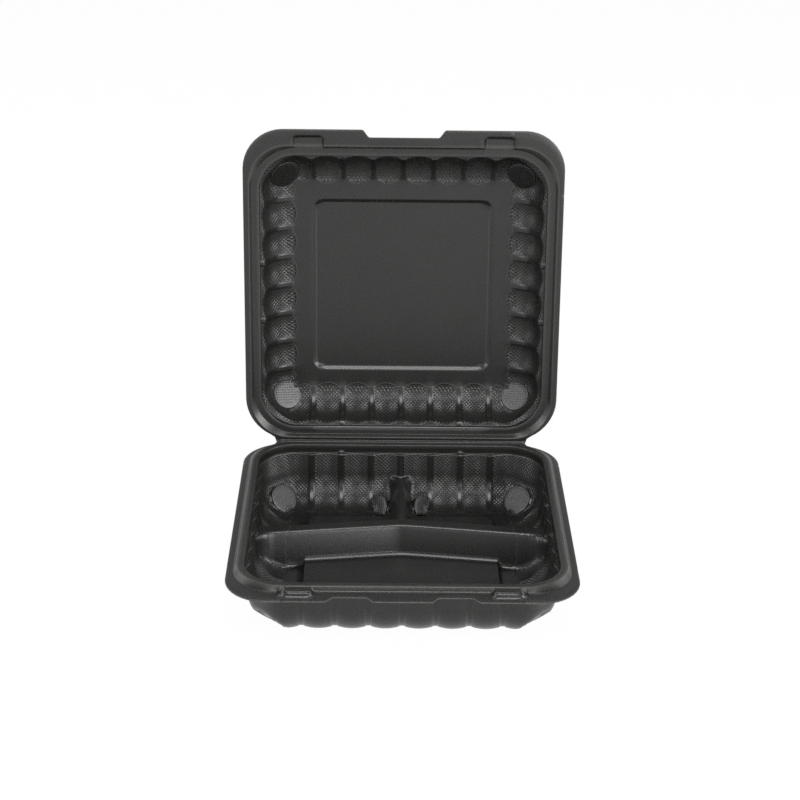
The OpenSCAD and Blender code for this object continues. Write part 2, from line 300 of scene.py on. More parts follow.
def wall_edge(net, side, points):
    """The lip's edge beside one straight wall, with the front notches cut in."""
    x, y = points[:, 0], points[:, 1]
    if side in (0, 2):
        return np.stack([np.full_like(y, LIP_HALF if side == 0 else -LIP_HALF), y], 1)
    if side == 1:
        return np.stack([x, np.full_like(x, HINGE_Y - CREASE / 2)], 1)
    cut = sum(notch(x, middle, width) for middle, width in net.notches)
    return np.stack([x, FRONT_Y + cut], 1)


def wall_columns(net, side, s):
    """Columns along one wall. Sides count from the right, turning left."""
    angle = math.pi / 2 * side
    out = np.round([math.cos(angle), math.sin(angle)])
    sideways = np.array([-out[1], out[0]])
    half = AXIS[1 - side % 2]
    foot = AXIS[side % 2] * out + s[:, None] * sideways
    rib = rib_height(s, half)
    fade = np.clip((half - np.abs(s)) / SCOOP_FADE, 0, 1)
    return {
        "foot": foot,
        "out": np.tile(out, (len(s), 1)),
        "rib": rib,
        "low_rib": rib,
        "scoop": (1 - np.clip(rib / FLUTE_HOLLOW, 0, 1)) * fade,
        "ring_foot": foot + (CAVITY_R + RING_LAND + RING_SLOPE + net.grow) * out,
        "edge": wall_edge(net, side, foot),
        "run": s,
        "wall_of": np.full(len(s), side),
    }


print("the rear wall's lip ends at y", HINGE_Y - CREASE / 2, "mm")


# %% [markdown]
# ## Columns round the corners
# In a corner all columns share one foot, the corner's axis, and fan out from it. The turned
# profile could be spun, but ring and lip have other centres than the cavity. They are already
# paths by length with as many points as the fan, so each column takes its own point on them.

# %% Columns of the corners
MIRRORS = ((1, 1), (-1, 1), (-1, -1), (1, -1))  # the corners, each after the wall of its number


def corner_columns(net, side):
    """Columns fanned round the corner after a wall. The corners count on from 4."""
    mirror = np.array(MIRRORS[side])
    turned = side in (1, 3)
    ring = ring_corner(net.grow) * mirror
    lip = (rear_lip_corner() * mirror) if side < 2 else (front_lip_corner() * mirror * (1, -1))
    angle = np.radians(90 * side + 90 * CORNER_STEPS)
    count = len(angle)
    return {
        "foot": np.tile(AXIS * mirror, (count, 1)),
        "out": np.stack([np.cos(angle), np.sin(angle)], 1),
        "rib": np.zeros(count),
        "low_rib": net.corner_in * np.sin(2 * angle) ** 2,
        "scoop": np.zeros(count),
        "ring_foot": ring[::-1] if turned else ring,
        "edge": lip[::-1] if turned else lip,
        "run": np.radians(90) * CORNER_STEPS * (FLOOR_R + COVE_R),
        "wall_of": np.full(count, side + 4),
    }


def set_columns(net, x_lines, y_lines, row_shift):
    """Gives the net its columns: four walls, each with the corner after it."""
    net.x, net.y, net.row_shift = x_lines, y_lines, row_shift
    side_y = y_lines + row_shift(np.full_like(y_lines, AXIS[0]), y_lines)
    groups = []
    for side, s in enumerate((side_y, -x_lines[::-1], -side_y[::-1], x_lines)):
        groups += [wall_columns(net, side, s), corner_columns(net, side)]
    for key in groups[0]:
        setattr(net, key, np.concatenate([g[key] for g in groups]))


print("corner fan of", len(CORNER_STEPS), "columns")


# %% [markdown]
# ## The scooped ends of the flutes
# Each flute ends on the floor in a shallow scoop with a curved edge and a fine bead, such as a
# cutter leaves in a mould. The scoops could be pressed in later, but the lines of the net would
# step across their edges. So the lowest rings follow that edge from column to column.

# %% Rings of the floor and the cove
SCOOP_AT_RIB, SCOOP_AT_MIDDLE, SCOOP_DEPTH = 3.8, 1.0, 0.6  # reach of the edge, and the depth
SCOOP_GAIN, SCOOP_FLANK = 2.5, 1.8  # how soon a scoop is full along the wall, and down its edge
SCOOP_END, SCOOP_BLEND = 10, 7  # the floor's lift ends this far up the cove, over this length
BEAD_RISE, BEAD_BACK, BEAD_HALF = 0.14, 0.1, 0.5  # the small bead along a scoop's edge
SCOOP_STEPS = (-0.9, -0.6, -0.25, 0.05, 0.4, 1.0, 2.0)  # rings on both sides of the edge


def scoop_edge(net):
    """How far out the edge of the scoops lies at each column."""
    return SCOOP_AT_RIB + (SCOOP_AT_MIDDLE - SCOOP_AT_RIB) * net.scoop


def scoop_lift(net, reach):
    """How far the floor stands over the bottoms of the scoops, fading out round the cove."""
    past = reach - scoop_edge(net)
    flute = np.clip(net.scoop * SCOOP_GAIN, 0, 1)
    dip = flute * np.clip(past / SCOOP_FLANK, 0, 1)
    bead = flute * BEAD_RISE * np.clip(1 - np.abs(past + BEAD_BACK) / BEAD_HALF, 0, 1)
    return bead + SCOOP_DEPTH * (1 - dip) * np.clip((SCOOP_END - past) / SCOOP_BLEND, 0, 1)


def lay(net, reach, height):
    """One ring of points, each at its own reach from its column's foot."""
    plan = net.foot + np.reshape(reach, (-1, 1)) * net.out
    return np.column_stack([plan, np.broadcast_to(height, len(plan))])


def cove_ring(net, angle):
    """A ring on the cove. The ribs die out towards the floor, and the scoops lie below it."""
    fade = 1 - (angle / (np.pi / 2)) ** 3
    r = COVE_R - net.low_rib * fade
    reach = FLOOR_R + r * np.cos(angle)
    return lay(net, reach, COVE_R - net.floor_d - r * np.sin(angle) + scoop_lift(net, reach))


def floor_rings(net):
    """The rings that follow the edges of the scoops."""
    for step in SCOOP_STEPS:
        reach = scoop_edge(net) + step
        angle = np.arccos(np.clip((reach - FLOOR_R) / COVE_R, 0, 1))
        ring = cove_ring(net, angle)
        flat = reach < FLOOR_R
        ring[flat] = lay(net, reach, scoop_lift(net, reach) - net.floor_d)[flat]
        yield ring


print("rings along the scoops' edges:", len(SCOOP_STEPS))


# %% [markdown]
# ## One section of the sheet
# A section runs from the floor up the cove, the wall, the ledge, the plain band, the sealing ring
# and out over the lip. It could be one curve swept round, but ribs and corners change it all the
# way, so every ring is laid for all columns at once, and marked where it is knurled and where its
# edges are painted paler, partly as whitening of the bent sheet and partly as painted highlight.

# %% Rings of the section
COVE_ANGLES = np.radians([74, 66, 58, 50, 42, 34, 26, 18, 10, 3])
WALL_STEPS = (0.0, 0.33, 0.67, 0.95)
LIP_STEPS = (0.15, 0.3, 0.42, 0.48, 0.53, 0.58, 0.63, 0.72, 0.86, 0.96, 1.0)
PLAIN_RINGS, BEAD_RINGS = 4, (2, 3)  # of the scoops' rings: those on the floor, and on the bead
CREST_DROP = 0.2  # how far the ledge falls towards the crests
CREST_STEP = 0.15  # a ring close behind the crest keeps its bright line thin
BAND_DRAFT = 0.05  # the plain band leans out by this much
CREST_ARC, LEDGE_ARC, RIM_ARC, SHOULDER_ARC = 0.25, 0.4, 0.6, 0.5
TRAY_FOOT_ARC, LID_FOOT_ARC = 1.2, 0.5
RIB_FADE = 0.3  # the knurl stops where the wall starts to rise to a rib
# Painted highlight along the scoops' bead, the crest, the rim and the ring's bends, where crisp
# edges catch the light, with some whitening of the bent sheet.
BEAD_HIGHLIGHT, CREST_HIGHLIGHT, RIM_HIGHLIGHT, RING_HIGHLIGHT, GROOVE_HIGHLIGHT = 0.6, 0.9, 0.6, 0.9, 0.1
EDGE_FROM = 0.95  # the outermost share of the lip is its cut edge


def set_rings(net):
    """Stacks the rings from the floor to the lip's edge, with their knurl and their paler edges,
    whitening and painted highlight.
    """
    low = lay(net, FLOOR_R + COVE_R - net.low_rib, COVE_R - net.floor_d)
    ledge_z = -(net.rim + net.ledge_d)
    crest = lay(net, CAVITY_R - LEDGE_W - net.rib, ledge_z - CREST_DROP)
    ledge = lay(net, CAVITY_R - WALL_RUN / 2, ledge_z)
    rim = lay(net, CAVITY_R - WALL_RUN / 2 + BAND_DRAFT, -net.rim)
    shoulder = lay(net, CAVITY_R + RING_LAND + net.grow, -net.rim)
    foot = np.column_stack([net.ring_foot, np.zeros(len(low))])
    edge = np.column_stack([net.edge, np.zeros(len(low))])
    raised = net.rim < 0  # the tray's ring stands up, and the lid's is a groove
    crests = arc(low, crest, ledge, CREST_ARC, steps=3)
    feet = arc(shoulder, foot, edge, TRAY_FOOT_ARC if raised else LID_FOOT_ARC, steps=4)
    rings = []  # points of a ring, its share of knurl and of paler edge, whitening and painted highlight
    for k, ring in enumerate(floor_rings(net)):
        rings.append((ring, float(k >= PLAIN_RINGS), BEAD_HIGHLIGHT * (k in BEAD_RINGS)))
    rings += [(cove_ring(net, a), 1, 0) for a in COVE_ANGLES]
    rings += [(low + (crest - low) * t, 1, 0) for t in WALL_STEPS]
    rings += [(p, 0, CREST_HIGHLIGHT) for p in crests]
    rings += [(crests[-1] + (ledge - crests[-1]) * CREST_STEP, 0, 0)]
    rings += [(p, 0, 0) for p in arc(crest, ledge, rim, LEDGE_ARC, steps=3)]
    rings += [((ledge + rim) / 2, 0, 0)]
    rings += [(p, 0, RIM_HIGHLIGHT) for p in arc(ledge, rim, shoulder, RIM_ARC, steps=4)]
    rings += [((rim + shoulder) / 2, 0, 0)]
    # The ring's bends get a painted highlight; on the lid's groove mostly at its foot.
    shoulder_highlight, foot_highlight = (RING_HIGHLIGHT, 0) if raised else (GROOVE_HIGHLIGHT, RING_HIGHLIGHT)
    rings += [(p, 0, shoulder_highlight) for p in arc(rim, shoulder, foot, SHOULDER_ARC, steps=4)]
    rings += [(p, 0, foot_highlight) for p in feet]
    # The lip's cut edge is painted paler: whitening of the cut, and painted highlight.
    rings += [(feet[-1] + (edge - feet[-1]) * t, 0, float(t > EDGE_FROM)) for t in LIP_STEPS]
    net.rings = np.stack([r[0] for r in rings])
    flute = np.clip((FLUTE_HOLLOW + RIB_FADE - net.rib) / RIB_FADE, 0, 1)
    net.ring_knurl = np.array([float(r[1]) for r in rings])[:, None] * flute[None, :]
    net.ring_worn = np.repeat(np.array([[float(r[2])] for r in rings]), len(low), axis=1)


print("rings on the cove:", len(COVE_ANGLES), "and on the lip:", len(LIP_STEPS))


# %% [markdown]
# ## Faces of the walls
# The skin between the columns is all quads. Every corner of a face also gets its place on the
# unrolled sheet. The knurl needs it to run straight: a projection from one side would stretch it
# on the walls that stand away from that side.


# %% Faces of the walls
def unrolled(net):
    """Distance round the cavity at each column, and up the mean section at each ring."""
    ends = net.foot + (FLOOR_R + COVE_R) * net.out
    steps = np.linalg.norm(np.roll(ends, -1, axis=0) - ends, axis=1)
    rise = np.linalg.norm(np.diff(net.rings, axis=0), axis=2).mean(axis=1)
    up = np.tile(np.concatenate([[0], np.cumsum(rise)])[:, None], len(ends))
    return np.concatenate([[0], np.cumsum(steps)]), up


def wall_faces(net):
    """Quads between the columns, and the unrolled place of each of their corners."""
    count, n = net.rings.shape[:2]
    around, up = unrolled(net)
    k, i = np.meshgrid(np.arange(count - 1), np.arange(n), indexing="ij")
    k, i = k.ravel(), i.ravel()
    j = (i + 1) % n
    quads = np.stack([k * n + i, (k + 1) * n + i, (k + 1) * n + j, k * n + j], 1)
    u = np.stack([around[i], around[i], around[i + 1], around[i + 1]], 1)
    v = np.stack([up[k, i], up[k + 1, i], up[k + 1, j], up[k, j]], 1)
    return quads.tolist(), np.stack([u, v], 2).reshape(-1, 2)


way_round = 4 * AXIS.sum() + 2 * np.pi * (FLOOR_R + COVE_R)
print("the walls unroll to", round(float(way_round)), "mm")


# %% [markdown]
# ## The floor and the whole net
# The floor keeps only some of its lines where nothing happens, which saves many faces. The walls
# need them all, so the first strip takes up the difference with faces of several corners, and the
# sheet stays one closed skin from the floor to the lip.

# %% Faces of the floor
FLOOR_INSET = 1.2  # the floor's own lines stop this far inside the corners' axes


def floor_faces(net, fx, fy, base):
    """Quads of the floor, and the strip of faces that joins it to the first ring."""
    count_y, n = len(fy), len(net.foot)

    def spot(i, j):
        return base + i * count_y + j

    pairs = [(i, j) for i in range(len(fx) - 1) for j in range(count_y - 1)]
    faces = [(spot(i, j), spot(i + 1, j), spot(i + 1, j + 1), spot(i, j + 1)) for i, j in pairs]
    nx, ny, nc = len(net.x), len(net.y), len(CORNER_STEPS)
    starts = [0, ny + nc, ny + nx + 2 * nc, 2 * ny + nx + 3 * nc]
    right = [spot(len(fx) - 1, j) for j in range(count_y)]
    left = [spot(0, j) for j in range(count_y)]
    rear = [spot(i, count_y - 1) for i in range(len(fx))]
    front = [spot(i, 0) for i in range(len(fx))]
    sides = [
        (fy, right),
        ((nx - 1 - fx)[::-1], rear[::-1]),
        ((ny - 1 - fy)[::-1], left[::-1]),
        (fx, front),
    ]
    for begin, (kept, spots) in zip(starts, sides):
        for a in range(len(kept) - 1):
            outer = [begin + c for c in range(kept[a], kept[a + 1] + 1)]
            faces.append((spots[a + 1], spots[a], *outer))
        corner = [(begin + kept[-1] + c) % n for c in range(nc + 2)]
        faces += [(spots[-1], a, b) for a, b in zip(corner, corner[1:])]
    return faces


def set_faces(net, keep_x, keep_y):
    """Joins the rings and the floor to one net. The kept zones keep all their lines."""
    fx, fy = thinned(net.x, keep_x), thinned(net.y, keep_y)
    gx, gy = np.meshgrid(net.x[fx], net.y[fy], indexing="ij")
    inset = (AXIS - FLOOR_INSET) / AXIS
    gx, gy = gx * inset[0], (gy + net.row_shift(gx, gy)) * inset[1]
    floor = np.stack([gx, gy, np.full_like(gx, SCOOP_DEPTH - net.floor_d)], 2).reshape(-1, 3)
    skin = net.rings.reshape(-1, 3)
    net.points = np.vstack([skin, floor])
    net.knurl = np.concatenate([net.ring_knurl.ravel(), np.zeros(len(floor))])
    net.worn = np.concatenate([net.ring_worn.ravel(), np.zeros(len(floor))])
    walls, wall_uv = wall_faces(net)
    rest = floor_faces(net, fx, fy, len(skin))
    net.faces = walls + rest
    net.uv = np.vstack([wall_uv, [net.points[v][:2] for face in rest for v in face]])


print("the floor's lines stop", FLOOR_INSET, "mm inside the corners' axes")


# %% [markdown]
# ## Forms pressed into the net
# The dividers, the raised floor, the flats in the corners, the latch blocks and the small nubs
# are all drawn out of the same sheet, with no undercut. So each one is only a height over the
# plan, and a soft maximum joins it to what is there, which leaves the small fillets of a mould.

# %% Heights of the dividers and blocks
CHEVRON_Y, CHEVRON_ANGLE, CHEVRON_HALF, CHEVRON_TOP = 19.0, math.radians(8), 4.5, -17.0
CENTRE_HALF, CENTRE_TOP = 2.3, -21.5
CHEVRON_SOFT, CENTRE_SOFT = 1.4, 4.0  # rounding of the two tops
NOWHERE = -99.0  # a height that is under everything
DRAFT = math.tan(math.radians(20))
SPREAD_CURVE = 2.5
WALL_SPREAD, WALL_SPREAD_LEN = 12.0, 14.0  # how the dividers widen at the walls
FORK_SPREAD, FORK_LEN, FORK_MOST = 8.0, 20.0, 1.3  # and the centre one at the chevron
LATCH_X, LATCH_HALF, LATCH_HALF_L, LATCH_MIDDLE = 68.0, 9.1, 5.3, FRONT_Y + 11.9
LATCH_R, LATCH_MARGIN = 1.6, 0.6


def box_distance(x, y, half_x, half_y, radius):
    """Distance outside a rounded rectangle, negative inside it."""
    qx = np.abs(x) - half_x + radius
    qy = np.abs(y) - half_y + radius
    outside = np.hypot(np.maximum(qx, 0), np.maximum(qy, 0))
    return outside + np.minimum(np.maximum(qx, qy), 0) - radius


def chevron_line(x):
    """The middle line of the V-shaped divider, as y over x."""
    from_point = np.sqrt(x**2 + CHEVRON_HALF**2) - CHEVRON_HALF
    return CHEVRON_Y - math.tan(CHEVRON_ANGLE) * from_point


def spread(share, most):
    """How far a divider widens, growing quickly towards its end."""
    return most * np.clip(share, 0, None) ** SPREAD_CURVE


def chevron_height(x, y):
    """The V-shaped divider across the tray."""
    turn_x = AXIS[0] + CAVITY_R - LEDGE_W - WALL_SPREAD_LEN
    half = CHEVRON_HALF + spread((np.abs(x) - turn_x) / WALL_SPREAD_LEN, WALL_SPREAD)
    from_edge = np.abs(y - chevron_line(x)) * math.cos(CHEVRON_ANGLE) - half
    return smooth_min(CHEVRON_TOP, CHEVRON_TOP - from_edge / DRAFT, CHEVRON_SOFT)


def centre_height(x, y):
    """The divider from the chevron's point to the rear wall."""
    fork = spread(1 - (y - CHEVRON_Y - CHEVRON_HALF) / FORK_LEN, FORK_SPREAD)
    rear = spread(1 - (AXIS[1] + CAVITY_R - y) / WALL_SPREAD_LEN, WALL_SPREAD)
    from_edge = np.abs(x) - CENTRE_HALF - np.minimum(fork, FORK_MOST * FORK_SPREAD) - rear
    height = smooth_min(CENTRE_TOP, CENTRE_TOP - from_edge / DRAFT, CENTRE_SOFT)
    return np.where(y > CHEVRON_Y, height, NOWHERE)


def block_height(x, y, grow):
    """The two latch blocks in front of the ring, as a height over the lip."""
    half_x, half_y = LATCH_HALF + grow, LATCH_HALF_L + grow
    d = box_distance(np.abs(x) - LATCH_X, y - LATCH_MIDDLE, half_x, half_y, LATCH_R)
    height = np.minimum(RING_RISE, RING_RISE * (1 - d / RING_SLOPE))
    return np.where(d < RING_SLOPE + LATCH_MARGIN, height, NOWHERE)


print("the chevron's point lies at y", round(float(chevron_line(0)), 1), "mm")


# %% [markdown]
# ## Round corner flats
# Each lower corner has a round flat, tilted towards the middle, where the mould was milled off
# and lightly knurled. It could be cut with a tilted solid, but the sheet has no inside to cut.
# So a tilted pad is pressed across the corner, a little deeper than the disc that will cover it.

# %% Corner flats
PAD_UNDER, PAD_SOFT = 0.6, 1.2  # depth of the pad under the flat, and the fillet round it
PAD_INSIDE, PAD_FALL, PAD_REACH = 0.4, 1.2, 6  # how the pad falls away at the disc's rim
CORNERS = ((-1, -1), (1, -1), (-1, 1), (1, 1))
DIAGONAL = math.sqrt(0.5)


class Flat:
    """A round flat: its middle, its radius and its axes across it, up its slope and out of it."""

    def __init__(self, net, plan, toward, rise, tilt, radius):
        self.toward = np.array(toward)
        tilt = math.radians(tilt)
        down = np.array([*(self.toward * math.sin(tilt)), -math.cos(tilt)])
        self.middle = np.array([*plan, rise - net.floor_d])
        self.radius = radius
        self.across = np.array([-self.toward[1], self.toward[0], 0])
        self.slope = np.cross(-down, self.across)
        self.out = -down


def press_flats(net, flats):
    """Presses a tilted pad across each corner, and takes the knurl off round it."""
    p = net.points
    for flat in flats:
        rel = p - flat.middle
        plane = p[:, 2] - (rel @ flat.out) / flat.out[2]
        far = np.hypot(rel @ flat.across, rel[:, :2] @ flat.toward / flat.out[2])
        pad = plane - PAD_UNDER - PAD_FALL * np.clip(far - flat.radius + PAD_INSIDE, 0, None)
        same_half = p[:, 0] * flat.middle[0] > 0
        near = (far < flat.radius + PAD_REACH) & same_half & (pad > p[:, 2] - PAD_SOFT)
        p[:, 2] = np.where(near, smooth_max(p[:, 2], pad, PAD_SOFT), p[:, 2])
        net.knurl[near] = 0


def corner_flats(net, reach, rise, tilt, radius):
    """The four flats in the corners, at one reach from the corners' axes."""
    ways = [np.array(corner) * DIAGONAL for corner in CORNERS]
    return [Flat(net, AXIS * np.sign(w) + reach * w, w, rise, tilt, radius) for w in ways]


print("pads lie", PAD_UNDER, "mm under their flats")


# %% [markdown]
# ## Discs on the flats
# The flats show as low discs with a crisp rim. They could be part of the net, but its lines would
# draw the circle with steps. So each disc is a small round net of its own over the pad, and the
# part of it that the sheet or a divider hides is left out.

# %% Discs
UNDER_REACH, UNDER_DEEP, UNDER_POINTS = 5, 12, 6  # which of the sheet's points count, how many
NO_ZERO = 0.01  # keeps the weight of a touching point finite
COVERED = 0.3  # a disc this far under the sheet is out of sight and is left out
DISC_RINGS = (  # share of the radius, and height over the flat
    (0.33, 0.4), (0.66, 0.4), (0.95, 0.4), (0.985, 0.32), (1.0, 0.1), (1.01, -0.75),
)
DISC_SIDES = 48
DISC_KNURL, DISC_TOP = 0.2, 0.97  # the knurl is faint there and stops before the rim
# Painted highlight: the discs' crisp rims are drawn paler, as where they catch the light.
DISC_RIM_HIGHLIGHT, DISC_RIM, DISC_RIM_HALF = 0.8, 0.99, 0.02


def sheet_under(net, flat, points):
    """How far the sheet stands out of the plane of a flat, under each of some points."""
    rel = net.points - flat.middle
    plan, out = np.stack([rel @ flat.across, rel @ flat.slope], 1), rel @ flat.out
    near = (np.hypot(*plan.T) < flat.radius + UNDER_REACH) & (np.abs(out) < UNDER_DEEP)
    near &= net.points[:, 0] * flat.middle[0] > 0
    plan, out = plan[near], out[near]
    heights = []
    for point in points - flat.middle:
        gap = np.hypot(*(plan - [point @ flat.across, point @ flat.slope]).T) + NO_ZERO
        closest = np.argsort(gap)[:UNDER_POINTS]
        heights.append(np.average(out[closest], weights=gap[closest] ** -2))
    return np.array(heights)


def disc_faces():
    """Faces of a disc: triangles round its middle point, then rings of quads."""
    i = np.arange(DISC_SIDES)
    j = (i + 1) % DISC_SIDES
    faces = [(0, 1 + a, 1 + b) for a, b in zip(i, j)]
    for k in range(len(DISC_RINGS) - 1):
        low = 1 + k * DISC_SIDES
        top = low + DISC_SIDES
        faces += [(low + a, top + a, top + b, low + b) for a, b in zip(i, j)]
    return faces


def lay_discs(net, flats, cover):
    """Adds the raised discs of the flats, as far as no other form of the sheet covers them."""
    turn = 2 * np.pi * np.arange(DISC_SIDES) / DISC_SIDES
    shares = np.concatenate([[0.0], np.repeat([r for r, h in DISC_RINGS], DISC_SIDES)])
    knurl = DISC_KNURL * (shares < DISC_TOP)
    # The painted highlight along each disc's rim.
    worn = DISC_RIM_HIGHLIGHT * (np.abs(shares - DISC_RIM) < DISC_RIM_HALF)
    faces = disc_faces()
    for flat in flats:
        spoke = np.cos(turn)[:, None] * flat.across + np.sin(turn)[:, None] * flat.slope
        rings = [flat.middle + flat.radius * r * spoke + h * flat.out for r, h in DISC_RINGS]
        points = np.vstack([[flat.middle + DISC_RINGS[0][1] * flat.out], *rings])
        over = sheet_under(net, flat, points) - (points - flat.middle) @ flat.out
        under = cover(points[:, 0], points[:, 1]) - points[:, 2]
        buried = (over > COVERED) | (under > COVERED)
        points += np.clip(over - COVERED, 0, None)[:, None] * flat.out
        points[:, 2] = np.maximum(points[:, 2], cover(points[:, 0], points[:, 1]) - COVERED)
        seen = [face for face in faces if not buried[list(face)].all()]
        used = np.unique(np.concatenate([np.array(face) for face in seen]))
        place = np.full(len(points), -1)
        place[used] = len(net.points) + np.arange(len(used))
        rel = points - flat.middle
        plan = np.stack([rel @ flat.across, rel @ flat.slope], 1)
        net.points = np.vstack([net.points, points[used]])
        net.knurl = np.concatenate([net.knurl, knurl[used]])
        net.worn = np.concatenate([net.worn, worn[used]])
        net.uv = np.vstack([net.uv, [plan[v] for face in seen for v in face]])
        net.faces += [tuple(int(place[v]) for v in face) for face in seen]


print("disc of", DISC_SIDES, "sides")


# %% [markdown]
# ## Nubs and the free edge
# Low blocks stand on the ledge at some ribs and in the corners, so that stacked containers come
# apart again. The free edge of a thin lip is never quite flat: it hangs a little, most at the
# corners.


# %% Nubs, droop and pressing
KNURL_OFF = 0.2  # the knurl stops this far under a form
NUB_RISE, NUB_HALF, NUB_START, NUB_OVER = 0.7, 1.6, 0.5, 0.6
NUB_DRAFT, NUB_END_DRAFT = 5, 40  # steepness of a nub's sides and of its inner end
LIP_SAG, CORNER_SAG, SAG_FROM = 0.12, 0.2, 0.5  # the outer half of the lip hangs


def press(net, height, soften):
    """Raises the sheet to a height where that is higher."""
    z = net.points[:, 2]
    net.knurl[height > z - KNURL_OFF] = 0
    net.points[:, 2] = np.where(height > z - soften, smooth_max(z, height, soften), z)


def nub_height(net, along_x, along_y):
    """Low blocks on the ledge: two on each wall, some ribs from its middle, and one per corner."""
    top = NUB_RISE - (net.rim + net.ledge_d)
    height = np.full(net.rings.shape[:2], NOWHERE)
    reach = np.linalg.norm(net.rings[:, :, :2] - net.foot[None], axis=2)
    for side in range(8):
        cols = net.wall_of == side
        corner = side > 3
        aside = (along_x if side % 2 else along_y) * 2 * AXIS[1 - side % 2] / RIBS
        places = [np.radians(45) * (FLOOR_R + COVE_R)] if corner else [-aside, aside]
        inner = CAVITY_R - LEDGE_W - (0 if corner else RIB_H)
        for place in places:
            past = np.clip(np.abs(net.run[cols] - place) - NUB_HALF, 0, None)
            short = np.clip(inner + NUB_START - reach[:, cols], 0, None)
            nub = top - NUB_DRAFT * past[None, :] - NUB_END_DRAFT * short
            nub[reach[:, cols] > CAVITY_R + NUB_OVER] = NOWHERE
            height[:, cols] = np.maximum(height[:, cols], nub)
    return np.concatenate([height.ravel(), np.full(len(net.points) - height.size, NOWHERE)])


def droop(net):
    """Lets the free edge of the lip hang, except along the crease."""
    rows = net.points[: net.rings.shape[0] * len(net.foot)].reshape(-1, len(net.foot), 3)
    most = np.where(net.wall_of == 1, 0, LIP_SAG + CORNER_SAG * (net.wall_of > 3))
    for k, t in enumerate(LIP_STEPS):
        share = np.clip((t - SAG_FROM) / (1 - SAG_FROM), 0, 1)
        rows[len(rows) - len(LIP_STEPS) + k, :, 2] -= most * share**2


print("nubs on the ledge:", 2 * 4 + 4, "on each half")


# %% [markdown]
# ## The tray
# The lines stand closer at the dividers, the latch blocks and the notches. Beside the chevron
# the rows of the floor bend to run along it, which keeps its long edges straight. Then its forms
# are pressed in, in the order in which they cover each other.

# %% Tray
tray_zones = both_sides([
    (0, 7, 0.9), (7, 13, 1.2),  # the centre divider
    (17.5, 25, 1.1), (43, 50.5, 1.1),  # the ends of the front notches
    (56.8, 59.8, 0.55), (66.6, 69.6, 0.6),  # the latch blocks, the edge of the raised floor
])
tray_rows = both_sides([(65.2, 68.2, 0.6)])  # the edge of the raised floor
tray_rows += [(4, 34, 1.1), (11.5, 17, 0.65), (21.5, 26, 0.65)]  # the chevron
BENT_FROM, BENT, BENT_END, BENT_TO = -60, 2, 36, 62  # y where the rows bend in, and out again
TRAY_NOTCHES = [(-34, 32), (34, 32)]  # middle and width
RAISED_X, RAISED_Y, RAISED_R = 67.5, 66.0, 7.0
RAISED_TOP, RAISED_STEEP, RAISED_SOFT = -37.0, 3.0, 0.6
TRAY_TILT, TRAY_FLAT_R = 54, 10.8
SIDE_FLAT_X, SIDE_FLAT_Y, SIDE_FLAT_TURN = 18.3, 81.3, math.radians(36)
DISC_DEEP = 0.1  # a disc may reach this far under the floor


def follow_chevron(x, y):
    """Moves the rows beside the chevron so that they run along it."""
    ahead_of = np.clip((y - BENT_FROM) / (BENT - BENT_FROM), 0, 1)
    behind = np.clip((BENT_TO - y) / (BENT_TO - BENT_END), 0, 1)
    return (chevron_line(x) - CHEVRON_Y) * np.minimum(ahead_of, behind)


tray_net = Net(
    -RING_RISE, TRAY_LEDGE_D, BASE_H - SHEET, grow=0.0, corner_in=2.6, notches=TRAY_NOTCHES
)
tray_x = spaced_lines(AXIS[0], tray_zones + rib_zones(AXIS[0]))
tray_y = spaced_lines(AXIS[1], tray_rows + rib_zones(AXIS[1]))
set_columns(tray_net, tray_x, tray_y, follow_chevron)
set_rings(tray_net)
set_faces(tray_net, [(-14, 14), (66, 70), (-70, -66)], [(2, 36), (65, 68.5), (-68.5, -65)])
tray_flats = corner_flats(tray_net, reach=12.7, rise=9.0, tilt=TRAY_TILT, radius=TRAY_FLAT_R)
for side in (-1, 1):  # two more flats lean against the centre divider
    plan = (side * SIDE_FLAT_X, SIDE_FLAT_Y)
    way = (-side * math.cos(SIDE_FLAT_TURN), math.sin(SIDE_FLAT_TURN))
    tray_flats.append(Flat(tray_net, plan, way, rise=2.4, tilt=TRAY_TILT, radius=TRAY_FLAT_R))
press_flats(tray_net, tray_flats)
px, py = tray_net.points[:, 0], tray_net.points[:, 1]
flank = RAISED_TOP - box_distance(px, py, RAISED_X, RAISED_Y, RAISED_R) * RAISED_STEEP
press(tray_net, smooth_min(RAISED_TOP, flank, RAISED_SOFT), RAISED_SOFT)
press(tray_net, chevron_height(px, py), soften=1.0)
press(tray_net, centre_height(px, py), soften=1.4)
press(tray_net, block_height(px, py, 0), soften=0.4)
press(tray_net, nub_height(tray_net, along_x=2, along_y=1), soften=0.3)
droop(tray_net)
tray_floor = SCOOP_DEPTH + SHEET - BASE_H - DISC_DEEP
lay_discs(tray_net, tray_flats, lambda x, y: np.maximum(centre_height(x, y), tray_floor))
print("tray faces", len(tray_net.faces), "columns", len(tray_net.foot))

# %% [markdown]
# ## The lid
# The lid has the same walls over a shallower floor, a groove that takes the sealing ring, two
# pockets for the latch blocks and a large sunk panel, which from outside is the raised square
# that the next container stands on.

# %% Lid
lid_zones = both_sides([
    (62.8, 67.2, 0.5),  # the sides of the panel
    (56.4, 59.4, 0.55), (23.5, 30.5, 1.1),  # the pockets, the ends of the finger notch
])
lid_rows = both_sides([(61.3, 67, 0.5)])  # the front and rear of the panel
PANEL_X, PANEL_Y, PANEL_R, PANEL_BACK = 63.9, 62.9, 6.0, 0.6
PANEL_Z, PANEL_STEEP, PANEL_FOOT_SOFT, PANEL_EDGE_SOFT = -32.7, 0.75, 0.15, 0.12
PANEL_HIGHLIGHT, PANEL_LINE, PANEL_SIDES = 0.6, 0.45, 60  # the painted highlight line along the panel's sides
POCKET_BEHIND, POCKET_OVER, POCKET_SOFT = 1, 0.4, 0.35

